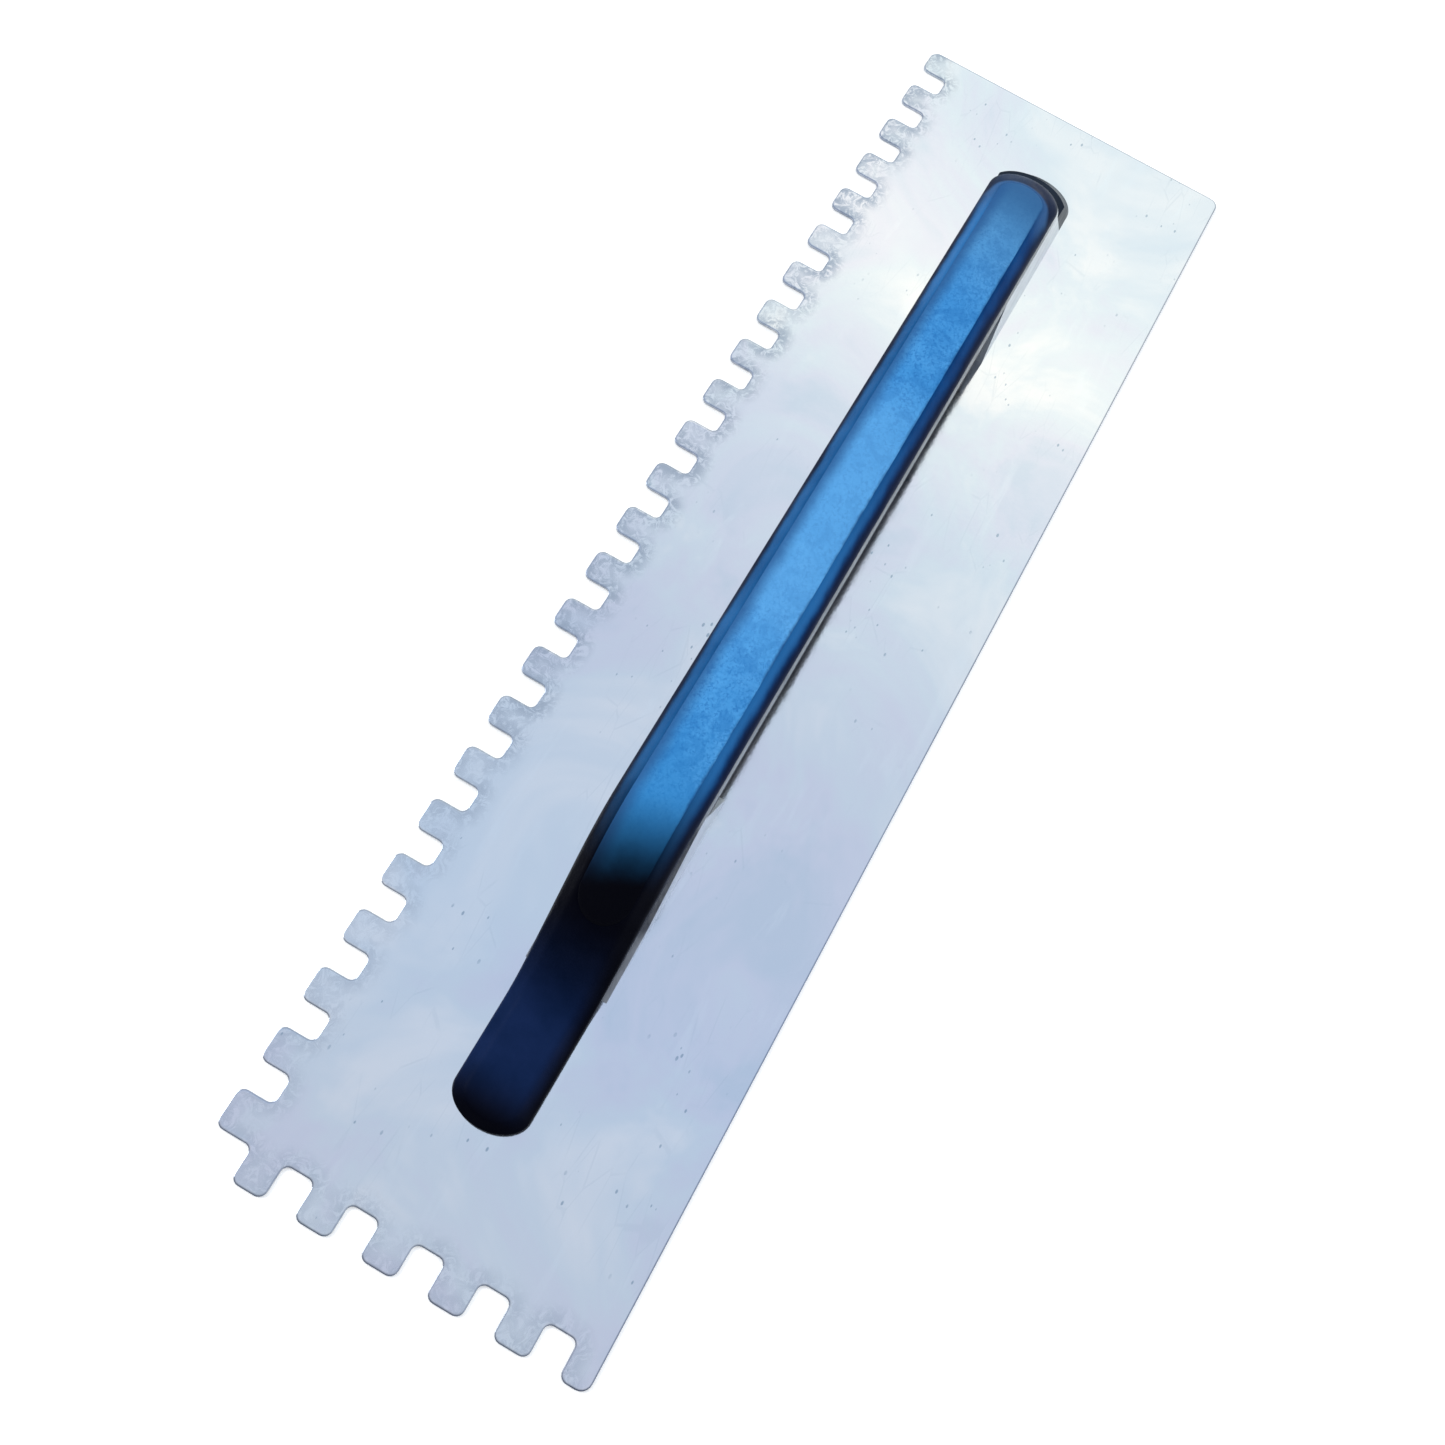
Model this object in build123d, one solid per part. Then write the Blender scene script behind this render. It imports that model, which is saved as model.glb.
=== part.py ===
from build123d import *
import os

# Notched trowel: a thin stainless blade, toothed along one long and one short edge, with a closed handle.
# All sizes are in millimetres.
# Frame: X runs along the blade and its toothed short edge is at -X. Y runs across and the toothed long edge
# is at +Y. Z is up, and Z = 0 is the working face on the underside of the blade.

# Blade
blade_length = 480.0
blade_width = 127.0
blade_thickness = 1.0
blade_corner_radius = 3.5
tooth_tip_radius = 2.6
notch_root_radius = 2.1
long_notch_count = 23
long_notch_pitch = 19.9
long_notch_width = 8.6
long_notch_depth = 10.8
long_notch_start = 27.0          # from the toothed short edge to the middle of the first notch
short_notch_count = 5
short_notch_pitch = 21.3
short_notch_width = 9.9
short_notch_depth = 10.9
short_notch_start = 14.0         # from the straight edge to the middle of the first notch
corner_cut_x = 10.3              # square cut where the two toothed edges meet
corner_cut_y = 12.3

# Handle, seen from the side
handle_y = -0.3                  # the handle's middle plane
handle_height = 59.7
nose_x = -195.0                  # front end of the low nose
nose_height = 10.2
slope_start_x = -154.0           # foot of the slope from the nose up to the grip
slope_end_x = -111.0
slope_foot_radius = 18.0
slope_crest_radius = 30.0
tail_x = 208.7                   # rear end of the handle at the blade, below a 45 degree slope
nose_roundness = 9.0             # how far the rounded ends reach along the handle
tail_roundness = 11.0
top_edge_radius = 5.5

# Widths, each from the handle's middle plane to one side
shell_half_width = 12.9
bridge_half_width = 12.9
front_base_half_width = 14.0     # the legs widen from the seam down to the blade
rear_base_half_width = 14.7
foot_half_width = 8.4
pad_half_width = 8.1

# Bridge, lower grip and finger gap
gap_front_x = -83.5
gap_front_base_x = -72.0
gap_rear_x = 120.0
gap_top = 21.0
lower_grip_wall = 3.0
lower_grip_edge_radius = 4.0
seam_height = 35.5               # where the shell sits on the bridge
seam_start_x = -146.0
seam_bend_x = -122.0
seam_bend_height = 8.5
seam_top_x = -95.0
seam_radius = 14.0
plate_thickness = 1.7            # metal plate between the shell and the lower grip, and the rim at the rear
heel_reach = 2.0                 # how far the heel cap stands out behind the shell
bridge_wall = 4.0
screw_boss_radius = 6.4
heel_boss_front_x = 158.0
foot_front_x = -186.0
foot_top = 6.6
heel_seam_base_x = 190.5
heel_seam_top_x = 163.0

# Shell and pad
shell_wall = 4.2
tail_wall = 10.4
pad_thickness = 2.0
pad_front_x = -135.0
pad_rear_x = 143.0
shell_boss_radius = 5.2
screw_clearance = 0.5
screw_tip_room = 2.0

# Rivets that hold the blade
rivet_places = [-178.0, -152.0, -116.0, 130.0, 152.0, 181.0]
rivet_head_radius = 4.0
rivet_shank_radius = 2.0
rivet_floor = 4.5                # top of the metal that each rivet clamps
rivet_tail_radius = 3.4
rivet_tail_height = 1.8
rivet_tail_rounding = 0.8
rivet_well_radius = 4.5

# Screws that hold the shell and the heel cap
shell_screw_places = [-58.0, 18.0, 94.0]
screw_radius = 2.0
screw_head_radius = 3.8
screw_head_height = 2.6
screw_head_rounding = 1.0
screw_socket_radius = 1.45
screw_socket_depth = 1.5
screw_seat = 26.0
screw_well_radius = 4.6
screw_tip = 43.5
washer_radius = 4.2
washer_hole_radius = 2.2
washer_thickness = 1.0
insert_radius = 3.0
insert_bottom = 36.0
insert_top = 44.0
insert_groove = 0.5
heel_screw_height = 22.0
heel_screw_seat_x = 180.5
heel_screw_tip_x = 162.0

gap_overshoot = 1.0              # the gap is cut this far past the foot of each leg
pocket_overlap = 0.2             # joins the pocket in the bridge to its open top
reach = 300.0                    # larger than any part of the trowel
match = 0.01                     # two places closer than this are the same
side_plane = Plane(origin=(0, handle_y, 0), x_dir=(1, 0, 0), z_dir=(0, -1, 0))
cross_plane = Plane(origin=(0, handle_y, 0), x_dir=(0, 1, 0), z_dir=(1, 0, 0))
upright = (Align.CENTER, Align.CENTER, Align.MIN)


def rounded(face, points, radius):
    """Round the corners of a flat face that lie at the given points."""
    corners = []
    for vertex in face.vertices():
        for point in points:
            if abs(vertex.X - point[0]) < match and abs(vertex.Y - point[1]) < match:
                corners.append(vertex)
    return fillet(corners, radius)


def side_prism(face, half_width):
    """Extrude a face drawn in (X, Z) to both sides of the handle's middle plane."""
    return extrude(side_plane * face, amount=half_width, both=True)


def widening(base_half_width):
    """Long prism that is as wide as the bridge at the seam and widens down to the blade."""
    points = [
        (-bridge_half_width, seam_height),
        (bridge_half_width, seam_height),
        (base_half_width, blade_thickness),
        (-base_half_width, blade_thickness),
    ]
    return extrude(cross_plane * make_face(Polyline(points, close=True)), amount=reach, both=True)


def post(x, bottom, top, radius):
    """Upright cylinder on the handle's middle plane."""
    return Pos(x, handle_y, bottom) * Cylinder(radius, top - bottom, align=upright)


def blade_outline():
    """Blade from above, with square notches along the +Y edge and the -X edge."""
    left = -blade_length / 2
    back = blade_width / 2
    outline = Rectangle(blade_length, blade_width)
    for index in range(long_notch_count):
        x = left + long_notch_start + index * long_notch_pitch
        outline -= Pos(x, back) * Rectangle(long_notch_width, 2 * long_notch_depth)
    for index in range(short_notch_count):
        y = -back + short_notch_start + index * short_notch_pitch
        outline -= Pos(left, y) * Rectangle(2 * short_notch_depth, short_notch_width)
    outline -= Pos(left, back) * Rectangle(2 * corner_cut_x, 2 * corner_cut_y)
    corners = [(-left, back), (-left, -back), (left, -back)]
    tips = []
    roots = []
    for vertex in outline.vertices():
        point = (vertex.X, vertex.Y)
        on_edge = abs(vertex.X - left) < match or abs(vertex.Y - back) < match
        at_corner = abs(abs(vertex.X) + left) < match and abs(abs(vertex.Y) - back) < match
        if on_edge and not at_corner:
            tips.append(point)
        elif not at_corner:
            roots.append(point)
    outline = rounded(outline, roots, notch_root_radius)
    outline = rounded(outline, tips, tooth_tip_radius)
    return rounded(outline, corners, blade_corner_radius)


def rivet(x):
    """Solid rivet: a flush cone in the blade, a shank, and a formed tail in the bridge's well."""
    cone_height = rivet_head_radius - rivet_shank_radius
    body = Pos(x, handle_y, 0) * Cone(rivet_head_radius, rivet_shank_radius, cone_height, align=upright)
    body += post(x, cone_height, rivet_floor, rivet_shank_radius)
    tail = post(x, rivet_floor, rivet_floor + rivet_tail_height, rivet_tail_radius)
    tail = fillet(tail.edges().sort_by(Axis.Z)[-1], rivet_tail_rounding)
    return body + tail


def handle_side():
    """Side view of the whole handle, drawn in (X, Z). round_tail() trims its rear, which is left long."""
    crest = (slope_end_x, handle_height)
    foot = (slope_start_x, nose_height)
    points = [
        (nose_x, blade_thickness),
        (nose_x, nose_height),
        foot,
        crest,
        (reach, handle_height),
        (reach, blade_thickness),
    ]
    face = make_face(Polyline(points, close=True))
    face = rounded(face, [foot], slope_foot_radius)
    return rounded(face, [crest], slope_crest_radius)


def round_nose(half_width):
    """Upright prism with the rounded front end of the handle."""
    start = nose_x + nose_roundness
    outline = Pos(start, handle_y) * Ellipse(nose_roundness, half_width)
    outline += Pos(start + reach, handle_y) * Rectangle(2 * reach, 2 * half_width)
    return extrude(outline, amount=2 * handle_height)


def round_tail(half_width, grow):
    """Prism that leans back at 45 degrees, with the rounded rear end of the handle."""
    end = tail_x + grow - tail_roundness
    outline = Pos(end, handle_y) * Ellipse(tail_roundness, half_width)
    outline += Pos(end - reach, handle_y) * Rectangle(2 * reach, 2 * half_width)
    start = Pos(0, 0, blade_thickness) * outline
    return extrude(start, amount=2 * handle_height, dir=(-1, 0, 1))


def handle_envelope(half_width, grow=0.0):
    """Outer form of the handle, before it is divided between bridge, shell and heel cap."""
    body = side_prism(handle_side(), half_width)
    body &= round_nose(half_width)
    return body & round_tail(half_width, grow)


def soft_top(body):
    """Round the edge that runs all the way round the top of the handle."""
    loop = []
    for edge in body.edges():
        middle = edge @ 0.5
        start = edge @ 0
        end = edge @ 1
        upright_edge = abs(start.X - end.X) < match and abs(start.Y - end.Y) < match
        leaning_edge = min(start.Z, end.Z) < blade_thickness + match
        if middle.Z > nose_height - match and not upright_edge and not leaning_edge:
            loop.append(edge)
    return fillet(loop, top_edge_radius)


def seam_points():
    """The line in (X, Z) that divides the shell, above, from the bridge, below."""
    return [
        (seam_start_x, blade_thickness),
        (seam_bend_x, seam_bend_height),
        (seam_top_x, seam_height),
    ]


def above_seam():
    """Side view of the space that the shell takes."""
    line = seam_points()
    points = [(-reach, blade_thickness)] + line + [(reach, seam_height), (reach, reach), (-reach, reach)]
    face = make_face(Polyline(points, close=True))
    return rounded(face, line[1:], seam_radius)


def below_seam():
    """Side view of the space that the bridge takes, up to the heel cap."""
    line = seam_points()
    heel = [(heel_seam_top_x, seam_height), (heel_seam_base_x, blade_thickness)]
    face = make_face(Polyline(line + heel, close=True))
    return rounded(face, line[1:], seam_radius)


def leg_gap(top):
    """Side view of the space between the two legs, from the blade up to the given height."""
    base = blade_thickness - gap_overshoot
    lean = (gap_front_x - gap_front_base_x) / (gap_top - base)
    front = (gap_front_base_x + lean * (top - base), top)
    points = [(gap_front_base_x, base), front, (gap_rear_x, top), (gap_rear_x, base)]
    return make_face(Polyline(points, close=True))


def lower_grip_side():
    """Side view of the lower grip, which fills the space between the legs down to the finger gap."""
    points = [(-reach, gap_top), (-reach, reach), (reach, reach), (reach, gap_top)]
    return leg_gap(seam_height - plate_thickness) & make_face(Polyline(points, close=True))


def heel_side():
    """Side view of the heel cap's space, under the rim."""
    top = seam_height - plate_thickness
    slope = (heel_seam_top_x - heel_seam_base_x) / (seam_height - blade_thickness)
    top_x = heel_seam_base_x + slope * (top - blade_thickness)
    points = [(heel_seam_base_x, blade_thickness), (top_x, top), (reach, top), (reach, blade_thickness)]
    return make_face(Polyline(points, close=True))


def blade():
    """Toothed sheet with a dimple-shaped hole for each rivet."""
    body = extrude(blade_outline(), amount=blade_thickness)
    for x in rivet_places:
        body -= rivet(x)
    return body


def screw(tip):
    """Pan head screw that points up, with its seat at Z = 0 and its head below."""
    body = Pos(0, 0, -screw_head_height) * Cylinder(screw_head_radius, screw_head_height, align=upright)
    body = fillet(body.edges().sort_by(Axis.Z)[0], screw_head_rounding)
    body += Cylinder(screw_radius, tip, align=upright)
    socket = extrude(RegularPolygon(screw_socket_radius, 6), amount=screw_socket_depth)
    return body - Pos(0, 0, -screw_head_height) * socket


def shell_screw(x):
    """Screw that goes up through the lower grip and the plate into an insert in the shell."""
    seat = screw_seat - washer_thickness
    return Pos(x, handle_y, seat) * screw(screw_tip - seat)


def heel_screw():
    """Screw that goes forward through the heel cap into the bridge."""
    length = heel_screw_seat_x - heel_screw_tip_x
    return Pos(heel_screw_seat_x, handle_y, heel_screw_height) * Rot(0, -90, 0) * screw(length)


def heel_screw_well():
    """Room for the head of the heel screw, open through the slope of the cap."""
    well = Cylinder(screw_well_radius, reach, align=upright)
    return Pos(heel_screw_seat_x, handle_y, heel_screw_height) * Rot(0, 90, 0) * well


def heel_screw_hole():
    """Hole for the heel screw, from its tip to the rear."""
    hole = Cylinder(screw_radius, reach, align=upright)
    return Pos(heel_screw_tip_x, handle_y, heel_screw_height) * Rot(0, 90, 0) * hole


def washer(x):
    """Flat ring between the lower grip and a shell screw."""
    ring = post(x, screw_seat - washer_thickness, screw_seat, washer_radius)
    return ring - post(x, 0, reach, washer_hole_radius)


def insert(x):
    """Brass sleeve with a groove round its middle."""
    sleeve = post(x, insert_bottom, insert_top, insert_radius)
    sleeve -= post(x, 0, reach, screw_radius)
    middle = (insert_bottom + insert_top) / 2
    groove = post(x, middle - insert_groove, middle + insert_groove, insert_radius)
    groove -= post(x, 0, reach, insert_radius - insert_groove)
    return sleeve - groove


def pad():
    """Soft pad let into the top of the shell, following its side view."""
    skin = handle_side() - offset(handle_side(), amount=-pad_thickness)
    length = pad_rear_x - pad_front_x
    plan = Pos((pad_front_x + pad_rear_x) / 2, handle_y) * SlotOverall(length, 2 * pad_half_width)
    column = Pos(0, 0, nose_height) * extrude(plan, amount=handle_height)
    body = side_prism(skin, shell_half_width) & column
    return body & soft_top(handle_envelope(shell_half_width))


def shell(pad_body):
    """Hollow cover over the bridge, open below, with a boss for each shell screw."""
    outside = soft_top(handle_envelope(shell_half_width, -heel_reach)) & side_prism(above_seam(), reach)
    hollow = side_prism(offset(handle_side(), amount=-shell_wall), shell_half_width - shell_wall)
    hollow &= handle_envelope(shell_half_width, -tail_wall)
    inner_nose = Pos(nose_x + reach + shell_wall, handle_y, 0) * Box(2 * reach, reach, reach)
    hollow += side_prism(foot_side(), shell_half_width - shell_wall) & inner_nose
    body = outside - hollow
    for x in shell_screw_places:
        body += post(x, seam_height, handle_height - shell_wall, shell_boss_radius)
        body -= post(x, seam_height, insert_bottom, screw_radius + screw_clearance)
        body -= post(x, insert_bottom, insert_top, insert_radius)
        body -= post(x, insert_top, insert_top + screw_tip_room, screw_radius)
    return body - pad_body


def foot_side():
    """Side view of the bridge's flat foot inside the nose of the shell."""
    points = [
        (foot_front_x, blade_thickness),
        (foot_front_x, foot_top),
        (seam_bend_x, foot_top),
        (seam_bend_x, blade_thickness),
    ]
    return make_face(Polyline(points, close=True))


def rim_side():
    """Side view of the thin layer that carries the rim."""
    low = seam_height - plate_thickness
    points = [(gap_rear_x, low), (gap_rear_x, seam_height), (reach, seam_height), (reach, low)]
    return make_face(Polyline(points, close=True))


def pocket(side, wall, half_width):
    """Hollow inside a piece with the given side view, open at the top."""
    room = offset(side, amount=-wall)
    lifted = Pos(0, wall + pocket_overlap) * room
    return side_prism(room + lifted, half_width - wall)


def screw_passage(x):
    """Well and hole for a shell screw."""
    return post(x, 0, screw_seat, screw_well_radius) + post(x, 0, reach, washer_hole_radius)


def lower_grip():
    """Moulded lower half of the grip: hollow, with a post round each shell screw."""
    body = side_prism(lower_grip_side(), bridge_half_width)
    lower_edges = body.edges().filter_by(Axis.X).group_by(Axis.Z)[0]
    body = fillet(lower_edges, lower_grip_edge_radius)
    body -= pocket(lower_grip_side(), lower_grip_wall, bridge_half_width)
    for x in shell_screw_places:
        body += post(x, gap_top, seam_height - plate_thickness, screw_boss_radius)
        body -= screw_passage(x)
    return body


def bridge():
    """Metal bridge: a flat front foot, two hollow legs, the plate between them, and the rim at the rear."""
    solid = side_prism(below_seam() - leg_gap(seam_height - plate_thickness), bridge_half_width)
    body = solid + (side_prism(rim_side(), reach) & handle_envelope(bridge_half_width, -heel_reach))
    legs = (below_seam() - leg_gap(seam_height + gap_overshoot)).faces().sort_by(Axis.X)
    for leg, base_half_width in zip(legs, (front_base_half_width, rear_base_half_width)):
        body += side_prism(leg, base_half_width) & widening(base_half_width)
        body -= pocket(leg, bridge_wall, bridge_half_width)
    body += side_prism(foot_side(), foot_half_width)
    heel_boss = Pos(heel_boss_front_x, handle_y, heel_screw_height) * Rot(0, 90, 0)
    heel_boss *= Cylinder(screw_boss_radius, reach, align=upright)
    body += heel_boss & solid
    for x in rivet_places:
        body -= rivet(x)
        body -= post(x, rivet_floor, reach, rivet_well_radius)
    for x in shell_screw_places:
        body -= screw_passage(x)
    return body - heel_screw_hole()


def heel_cap():
    """Cap on the rear slope, with a well for its screw."""
    body = handle_envelope(rear_base_half_width) & side_prism(heel_side(), reach)
    body &= widening(rear_base_half_width)
    body -= heel_screw_well()
    return body - heel_screw_hole()


def save(name, solid):
    """Write one named piece."""
    solid.label = name
    export_step(solid, os.path.join("parts", name + ".step"))


def main():
    """Make every piece of the trowel."""
    os.makedirs("parts", exist_ok=True)
    save("blade", blade())
    save("handle_bridge", bridge())
    save("lower_grip", lower_grip())
    pad_body = pad()
    save("grip_pad", pad_body)
    save("handle_shell", shell(pad_body))
    save("heel_cap", heel_cap())
    save("heel_screw", heel_screw())
    for index, x in enumerate(rivet_places, 1):
        save("blade_rivet_" + str(index), rivet(x))
    for index, x in enumerate(shell_screw_places, 1):
        save("shell_screw_" + str(index), shell_screw(x))
        save("screw_washer_" + str(index), washer(x))
        save("shell_insert_" + str(index), insert(x))


main()
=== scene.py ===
import math

import bmesh
import bpy
import numpy as np
from mathutils import Matrix, Vector, noise
from mathutils.geometry import delaunay_2d_cdt


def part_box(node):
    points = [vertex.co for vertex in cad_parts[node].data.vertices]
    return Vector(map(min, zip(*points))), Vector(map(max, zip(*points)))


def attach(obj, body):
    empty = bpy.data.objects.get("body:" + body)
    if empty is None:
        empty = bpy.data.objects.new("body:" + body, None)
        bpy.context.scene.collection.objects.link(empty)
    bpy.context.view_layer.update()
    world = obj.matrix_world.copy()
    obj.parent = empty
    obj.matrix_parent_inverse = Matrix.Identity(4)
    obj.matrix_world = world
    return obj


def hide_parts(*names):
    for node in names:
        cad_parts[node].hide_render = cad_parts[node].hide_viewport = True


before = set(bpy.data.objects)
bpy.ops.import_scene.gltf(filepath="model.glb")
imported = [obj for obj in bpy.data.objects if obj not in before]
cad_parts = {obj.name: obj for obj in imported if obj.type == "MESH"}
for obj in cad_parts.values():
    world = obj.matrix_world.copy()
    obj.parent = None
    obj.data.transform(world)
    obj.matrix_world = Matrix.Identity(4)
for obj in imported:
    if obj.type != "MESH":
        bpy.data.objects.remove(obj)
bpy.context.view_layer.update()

MM = 0.001

# Places from the frame, in millimetres
blade_low, blade_high = [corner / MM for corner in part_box("blade")]
shell_low, shell_high = [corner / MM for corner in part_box("handle_shell")]
HANDLE_Y = (shell_low.y + shell_high.y) / 2
HANDLE_TOP = shell_high.z
HALF_WIDTH = shell_high.y - HANDLE_Y
NOSE_X = shell_low.x
BASE = blade_high.z

# Blade sheet, in millimetres
TIP_RADIUS = 2.6
ROOT_RADIUS = 2.1
CORNER_RADIUS = 3.5
LONG_NOTCHES = 23
LONG_PITCH = 19.9
LONG_WIDTH = 8.6
LONG_DEPTH = 10.8
LONG_START = 27.0
SHORT_NOTCHES = 5
SHORT_PITCH = 21.3
SHORT_WIDTH = 9.9
SHORT_DEPTH = 10.9
SHORT_START = 14.0
CUT_X = 10.3
CUT_Y = 12.3
ARC_STEPS = 5
EDGE_STEP = 6.0
INNER_OFFSET = 2.2
INNER_SPACING = 3.6
INNER_MARGIN = 1.6
FLANK_OFFSET = 0.9
# Inward offset and height of the sheet's section, from its underside round the edge to its top
EDGE_PROFILE = [(FLANK_OFFSET, 0.0), (0.12, 0.0), (0.0, 0.10), (0.0, 0.74), (0.07, 0.90), (0.26, 0.97)]
WAVE_LENGTH_X = 34.0
WAVE_LENGTH_Y = 22.0
WAVE_HEIGHT = 0.04
WAVE_SEED = 3.0
RIVET_COUNT = 6
RIVET_HEAD_RADIUS = 4.0
RIVET_GAP = 0.05
RIVET_MARGIN = 6.0
RING_POINTS = 28
OUTLINE_CUTS = 4

# Handle form, in millimetres
NOSE_TOP = 10.2
NOSE_SQUASH = 0.46
SLOPE_START = -154.0
SLOPE_END = -111.0
SLOPE_FOOT_BEND = 8.0
SLOPE_TOP_BEND = 13.0
FOOT_START = -146.0
FOOT_END = -122.0
FOOT_LOW = 1.0
FOOT_RISE = 7.5
TAIL_X = 207.5
NOSE_REACH = 9.0
TAIL_REACH = 9.8
LEAN_START = 60.0
LEAN_END = 185.0
SEAM_TOP = 35.5
PAD_HALF_WIDTH = 8.1
PAD_FRONT = -135.0
PAD_BOW_RISE = (-165.0, -120.0)
PAD_BOW_FALL = (-100.0, -40.0)
SHOULDER_DROP = 8.4
SHOULDER_EDGE = 4.4
SHOULDER_BEND = 2.2
SIDE_INSET = 0.3
SEAM_INSET = 0.6
CREST_DROP = 1.5
CREST_BEND_BEFORE = 1.3
CREST_BEND_AFTER = 0.9
CREST_STEPS = 8
SHELL_WALL = 3.0
PAD_THICKNESS = 1.9
BEVEL_WIDTH = 0.12
MERGE_DISTANCE = 0.001
END_STEPS = 14
SIDE_STEPS = 280

# Floor, in metres
FLOOR_HALF_WIDTH = 3.0
FLOOR_HEIGHT = -0.0002

# The camera, at the viewing angle of a person looking down on the trowel from above its toothed short edge
VIEW_TARGET = Vector((-50.284, -1.047, 1.0)) * MM
VIEW_DISTANCE = 450.13 * MM
VIEW_AZIMUTH = math.radians(9.187)
VIEW_ELEVATION = math.radians(69.57)
VIEW_ROLL = math.radians(21.06)
VIEW_LENS = 34.859
VIEW_SENSOR = 36.0


class Look:
    """A material and its node tree, with short calls that add nodes."""

    def __init__(self, name):
        self.material = bpy.data.materials.new(name)
        self.material.use_nodes = True
        self.nodes = self.material.node_tree.nodes
        self.links = self.material.node_tree.links
        self.shader = self.nodes["Principled BSDF"]
        self.place = self.nodes.new("ShaderNodeTexCoord").outputs["Object"]

    def join(self, value, socket):
        """Link an output to a socket, or set the socket to a constant."""
        if isinstance(value, bpy.types.NodeSocket):
            self.links.new(value, socket)
        else:
            socket.default_value = value

    def stretch(self, scale, turn=0.0):
        """Object coordinates, turned about Z and scaled."""
        node = self.nodes.new("ShaderNodeMapping")
        node.inputs["Scale"].default_value = scale
        node.inputs["Rotation"].default_value = (0.0, 0.0, turn)
        self.links.new(self.place, node.inputs["Vector"])
        return node.outputs["Vector"]

    def cloud(self, scale, detail=4.0, roughness=0.5, distortion=0.0, place=None):
        """Noise with features of about 1 / scale metres."""
        node = self.nodes.new("ShaderNodeTexNoise")
        node.inputs["Scale"].default_value = scale
        node.inputs["Detail"].default_value = detail
        node.inputs["Roughness"].default_value = roughness
        node.inputs["Distortion"].default_value = distortion
        self.links.new(place or self.place, node.inputs["Vector"])
        return node.outputs["Fac"]

    def cells(self, scale, feature="F1", place=None):
        """Distance in a pattern of random cells."""
        node = self.nodes.new("ShaderNodeTexVoronoi")
        node.feature = feature
        node.inputs["Scale"].default_value = scale
        self.links.new(place or self.place, node.inputs["Vector"])
        return node.outputs["Distance"]

    def ramp(self, value, stops):
        """Colour ramp through (position, colour) stops."""
        node = self.nodes.new("ShaderNodeValToRGB")
        elements = node.color_ramp.elements
        while len(elements) < len(stops):
            elements.new(0.5)
        for element, (position, colour) in zip(elements, stops):
            element.position = position
            element.color = (*colour, 1.0)
        self.links.new(value, node.inputs["Fac"])
        return node.outputs["Color"]

    def mix(self, factor, first, second, blend="MIX"):
        """Mix of two colours."""
        node = self.nodes.new("ShaderNodeMix")
        node.data_type = "RGBA"
        node.blend_type = blend
        self.join(factor, node.inputs[0])
        for value, socket in ((first, node.inputs[6]), (second, node.inputs[7])):
            self.join(value if isinstance(value, bpy.types.NodeSocket) else (*value, 1.0), socket)
        return node.outputs[2]

    def math(self, operation, first, second=0.0):
        """One step of arithmetic."""
        node = self.nodes.new("ShaderNodeMath")
        node.operation = operation
        self.join(first, node.inputs[0])
        self.join(second, node.inputs[1])
        return node.outputs[0]

    def fade(self, value, start, end, low=0.0, high=1.0):
        """Smooth change from low to high while the value goes from start to end."""
        node = self.nodes.new("ShaderNodeMapRange")
        node.interpolation_type = "SMOOTHSTEP"
        self.join(value, node.inputs["Value"])
        node.inputs["From Min"].default_value = start
        node.inputs["From Max"].default_value = end
        node.inputs["To Min"].default_value = low
        node.inputs["To Max"].default_value = high
        return node.outputs["Result"]

    def band(self, value, rise, fall):
        """0 up to a smooth rise, 1 from there to a smooth fall, 0 after it."""
        return self.math("MULTIPLY", self.fade(value, *rise), self.fade(value, *fall, 1.0, 0.0))

    def axis(self, name):
        """One object coordinate, in metres."""
        node = self.nodes.new("ShaderNodeSeparateXYZ")
        self.links.new(self.place, node.inputs[0])
        return node.outputs[name]

    def attribute(self, name):
        """A number stored on the piece's points."""
        node = self.nodes.new("ShaderNodeAttribute")
        node.attribute_name = name
        return node.outputs["Fac"]

    def bump(self, height, strength, distance, below=None):
        """Bump, on top of another bump if one is given."""
        node = self.nodes.new("ShaderNodeBump")
        node.inputs["Strength"].default_value = strength
        node.inputs["Distance"].default_value = distance
        self.links.new(height, node.inputs["Height"])
        if below is not None:
            self.links.new(below, node.inputs["Normal"])
        return node.outputs["Normal"]

    def finish(self, colour, roughness, normal=None, **constants):
        """Set the shader's inputs."""
        self.join(colour, self.shader.inputs["Base Color"])
        self.join(roughness, self.shader.inputs["Roughness"])
        if normal is not None:
            self.links.new(normal, self.shader.inputs["Normal"])
        for name, value in constants.items():
            self.shader.inputs[name.replace("_", " ")].default_value = value
        return self.material


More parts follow.
